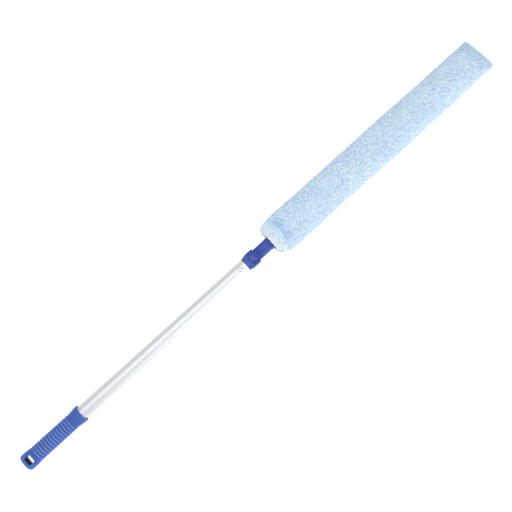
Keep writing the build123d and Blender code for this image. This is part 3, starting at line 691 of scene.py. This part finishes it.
# the pocket: one thin cloth, seen when the sleeve is off the blade
POCKET_ROWS = 90
POCKET_ROUND = 96
mouth_s = (lining_low.x - PIVOT.x) / MM
pocket_angles = ring_angles(POCKET_ROUND)
wall_out = pocket_rows(np.linspace(POCKET_END + 0.7, mouth_s, POCKET_ROWS), pocket_angles, 0.8)
wall_in = pocket_rows(np.linspace(mouth_s, POCKET_END, POCKET_ROWS), pocket_angles, 0.1)
pocket = grid_mesh("sleeve_pocket", np.concatenate([wall_out, wall_in]), shut_ends=True)
store(pocket, np.zeros(2 * POCKET_ROWS * POCKET_ROUND))

# the elastic inside the roll
band_s, band_angle = grid(MOUTH_S + np.array([6.0, 6.0, 12.0, 12.0]), pocket_angles)
band_in, band_up = pocket_face(band_s, band_angle, 1.9)
thicker = np.array([0.0, 0.7, 0.7, 0.0])[:, None]
band_y, band_z = section(band_angle, POCKET_POWER)
band_rows = to_frame(band_s, band_in * 0.97 + band_y * thicker, band_up + band_z * thicker)
elastic = grid_mesh("hem_elastic_band", band_rows, round_again=True)

# the spring under the button, a copy that rides with the handle
coil = bpy.data.objects.new("button_coil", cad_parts["button_spring"].data.copy())
bpy.context.scene.collection.objects.link(coil)
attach(coil, "handle")
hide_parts("button_spring")
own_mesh(coil)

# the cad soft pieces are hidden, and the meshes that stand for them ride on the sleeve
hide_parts("hem_elastic")
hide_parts("sleeve_top_panel", "sleeve_bottom_panel")
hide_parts("sleeve_hem")
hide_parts("sleeve_lining")
for piece in (sleeve_pile, hem_roll, pocket, elastic):
    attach(piece, "sleeve")


# ------------------------------------------------------------------ finishes


def terry(name, colour, valley, peak, hem=False):
    """Split-fibre microfibre pile: loop tips painted paler and the hollows between them painted darker, as
    painted highlight and shade; fibre bump and sheen.
    """
    n = Nodes(name)
    tall = n.add("ShaderNodeAttribute", attribute_name="pile").outputs["Fac"]
    fibre = n.noise(1500.0, 3.0, 0.6)
    tuft = n.noise(420.0, 3.0, 0.6)
    cloud = n.noise(34.0, 3.0)
    loops = n.add("ShaderNodeTexVoronoi", {"Vector": n.place, "Scale": 620.0}, feature="SMOOTH_F1")
    loops = loops.outputs["Distance"]
    height = n.math("ADD", tall, n.ramp(tuft, -0.3, 0.3, 0.25, 0.75))
    height = n.math("ADD", height, n.ramp(loops, 0.45, -0.55, 0.15, 0.75))
    # painted shade where the pile is low and painted highlight on the loop tips; the cloud and fibre noise
    # below add random tone
    tone = n.mix(n.ramp(height, 0.0, 1.0, -0.9, -0.05), valley, colour)
    tone = n.mix(n.ramp(height, 0.0, 1.0, 0.1, 0.9), tone, peak)
    tone = n.mix(n.ramp(cloud, 0.0, 0.18, 0.35, 0.75), tone, valley)
    tone = n.mix(n.ramp(fibre, 0.0, 0.3, 0.3, 0.7), tone, peak)
    if hem:
        along = n.xyz()["X"]
        # painted light: the front of the hem is painted paler, fading out by 62 mm, and near white along its
        # front edge
        pale = n.ramp(along, 0.75, 0.0, PIVOT.x + 42.0 * MM, PIVOT.x + 62.0 * MM)
        edge = n.ramp(along, 1.0, 0.0, PIVOT.x + 42.5 * MM, PIVOT.x + 45.5 * MM)
        tone = n.mix(edge, n.mix(pale, tone, srgb(232, 245, 253)), srgb(248, 251, 253))
    n.set(Base_Color=tone, Roughness=0.92)
    rounded = n.ramp(loops, 1.0, 0.0, 0.0, 0.8)
    n.set(Normal=n.bump(fibre, 0.5, 0.0006, n.bump(rounded, 0.75, 0.0011, n.bump(tuft, 0.4, 0.0012))))
    n.set(Sheen_Weight=0.18)
    n.set(Sheen_Roughness=0.5)
    n.set(Specular_IOR_Level=0.15)
    return n.material


NECK_BLUE = srgb(28, 70, 160)
STEM_BLUE = srgb(30, 70, 162)
GRIP_BLUE = srgb(60, 95, 177)

give("handle_tube", drawn_aluminium())
give("grip_cover", soft_grip("grip_rubber", GRIP_BLUE))
give("grip_plug", moulded_plastic("black_polypropylene", srgb(3, 3, 9), 0.7, 0.0))
# recessed faces painted in shade: x from, x to, half width, recessed height, full height
EAR_RECESS_SHADE = (PIVOT.x - 8.0 * MM, PIVOT.x + 7.6 * MM, 10.7 * MM, 8.2 * MM, 9.6 * MM)
RIB_RECESS_SHADE = (PIVOT.x + 8.0 * MM, PIVOT.x + 34.0 * MM, 8.4 * MM, 3.2 * MM, 4.3 * MM)
give("neck_fork", moulded_plastic("neck_plastic", NECK_BLUE, 0.34, shaded_recess=EAR_RECESS_SHADE, lip_x=PIVOT.x + 7.6 * MM))
give("pivot_pin", moulded_plastic("pin_plastic", srgb(66, 92, 178), 0.34))
give("head_stem", moulded_plastic("stem_plastic", STEM_BLUE, 0.34, shaded_recess=RIB_RECESS_SHADE))
give("pivot_push_nut", bright_metal("zinc_steel", (0.62, 0.63, 0.66, 1), 0.25))
cover(coil, bright_metal("spring_wire", (0.58, 0.59, 0.62, 1), 0.22))
give("blade_rivets", bright_metal("rivet_metal", (0.78, 0.79, 0.81, 1), 0.25))
give("snap_button", bright_metal("nickel_button", (0.86, 0.86, 0.88, 1), 0.26))
give("friction_washer_top", pale_polymer("nylon_top", srgb(236, 235, 226)))
give("friction_washer_bottom", pale_polymer("nylon_bottom", srgb(236, 235, 226)))
give("blade_core", pale_polymer("blade_polypropylene", srgb(232, 236, 238), 0.38))
cover(elastic, woven("elastic_web", srgb(236, 238, 240), 0.0012))
give("seam_binding", woven("binding_web", srgb(186, 208, 232), 0.0014))
# PILE_DEEP is the painted shade of the pile's low parts and PILE_PALE the painted highlight of its loop
# tips; both also tint random blotches and fibres
PILE_BLUE = srgb(205, 228, 246)
PILE_DEEP = srgb(160, 194, 232)
PILE_PALE = srgb(228, 243, 253)
cover(sleeve_pile, terry("sleeve_terry", PILE_BLUE, PILE_DEEP, PILE_PALE))
cover(hem_roll, terry("hem_terry", PILE_BLUE, PILE_DEEP, PILE_PALE, hem=True))
cover(pocket, woven("pocket_knit", srgb(196, 218, 238), 0.0016))
